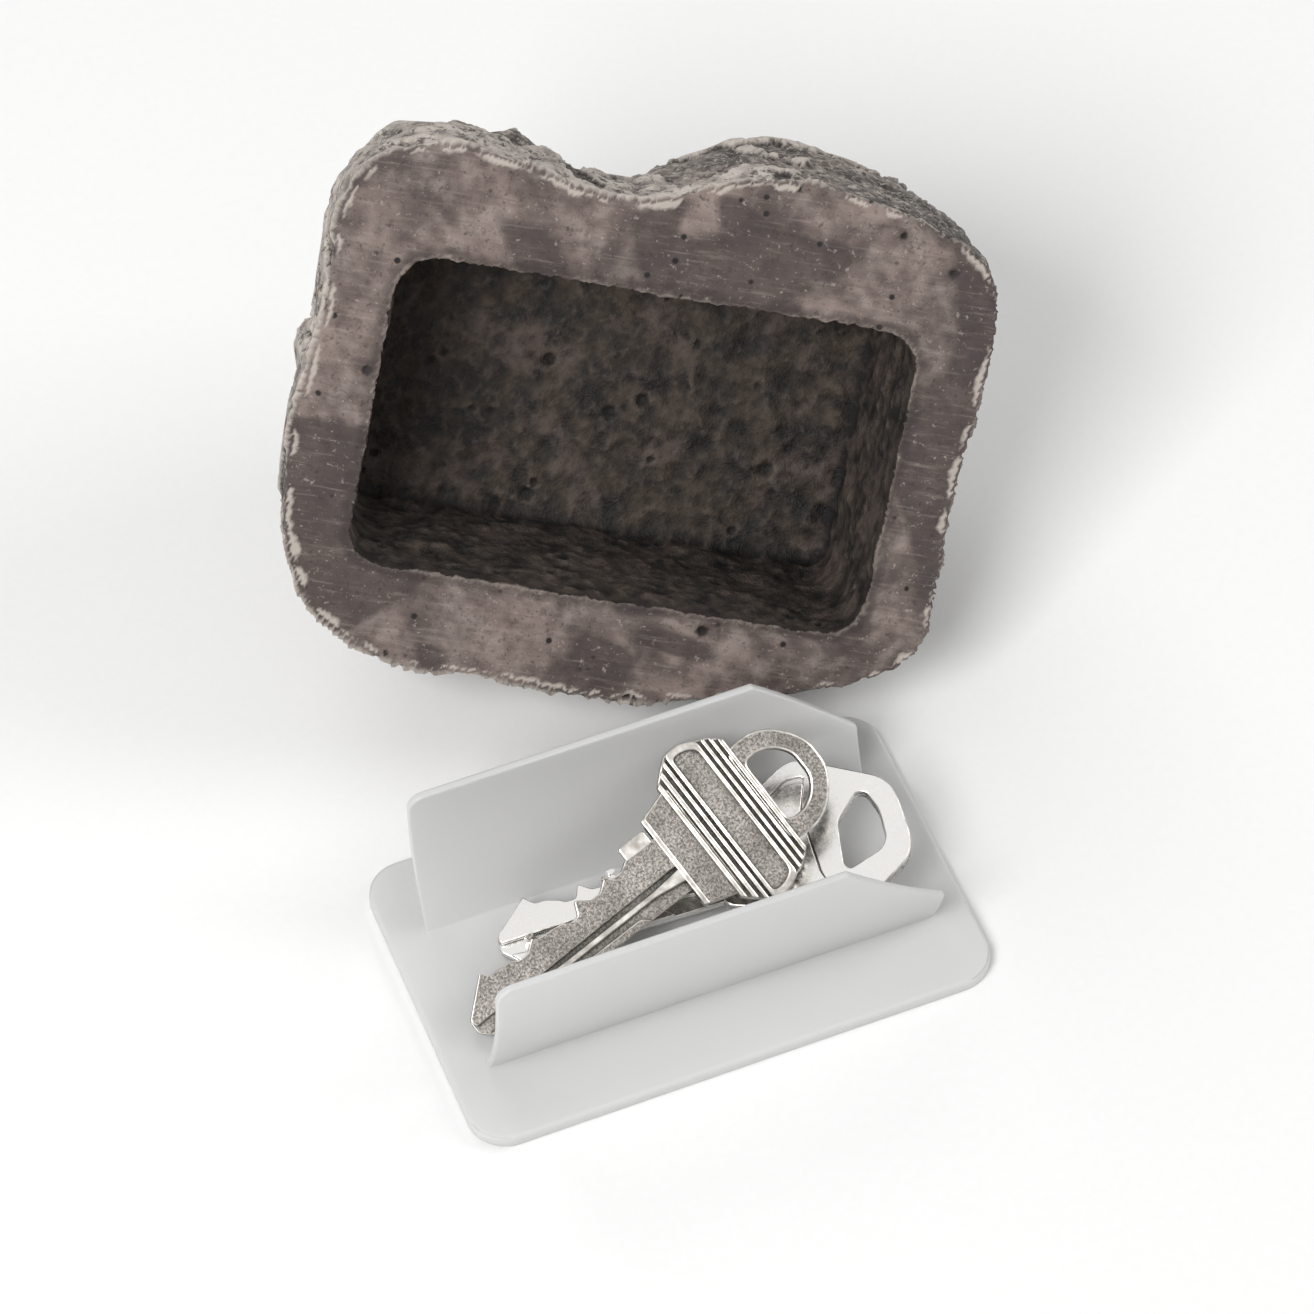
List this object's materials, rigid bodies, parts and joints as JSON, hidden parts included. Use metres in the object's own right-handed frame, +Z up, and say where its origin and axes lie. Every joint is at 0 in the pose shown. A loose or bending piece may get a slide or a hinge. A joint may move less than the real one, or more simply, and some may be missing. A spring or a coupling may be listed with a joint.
{
  "type": "hide a key rock",
  "caption": "Fake garden rock with a key pocket in its sawn base, shown tipped back beside the springy plug-in key tray and door keys.",
  "frame": {"origin": "centre of the underside of the tray plate, on the ground", "axes": "+X along the tray's length, +Z up, +Y towards the rock lying on its back"},
  "size_m": [0.099, 0.1145, 0.0737],
  "materials": {
    "cast_rock": "rough cast polyresin, painted and dry brushed",
    "tray_plastic": "translucent natural polyethylene",
    "dull_nickel": "blasted nickel plate with worn bright edges",
    "bright_nickel": "polished nickel plate"
  },
  "bodies": {
    "tray": {"key_tray": "tray_plastic"},
    "rock": {"rock": "cast_rock"},
    "ribbed_key": {"key_a": "dull_nickel"},
    "angular_key": {"key_b": "bright_nickel"}
  },
  "joints": [
    {"name": "rock_tip", "type": "hinge", "parent": "tray", "child": "rock", "pos_m": [0.00854, 0.03188, 0.00869], "axis": [0.9659, -0.2588, 0], "range_deg": [0, 125]},
    {"name": "key_a_slide", "type": "slide", "parent": "tray", "child": "ribbed_key", "axis": [0.9384, 0.2253, 0.2622], "range_m": [-0.0015, 0.0015]},
    {"name": "key_b_slide", "type": "slide", "parent": "tray", "child": "angular_key", "axis": [0.9862, -0.1124, 0.1219], "range_m": [-0.0015, 0.001]}
  ]
}
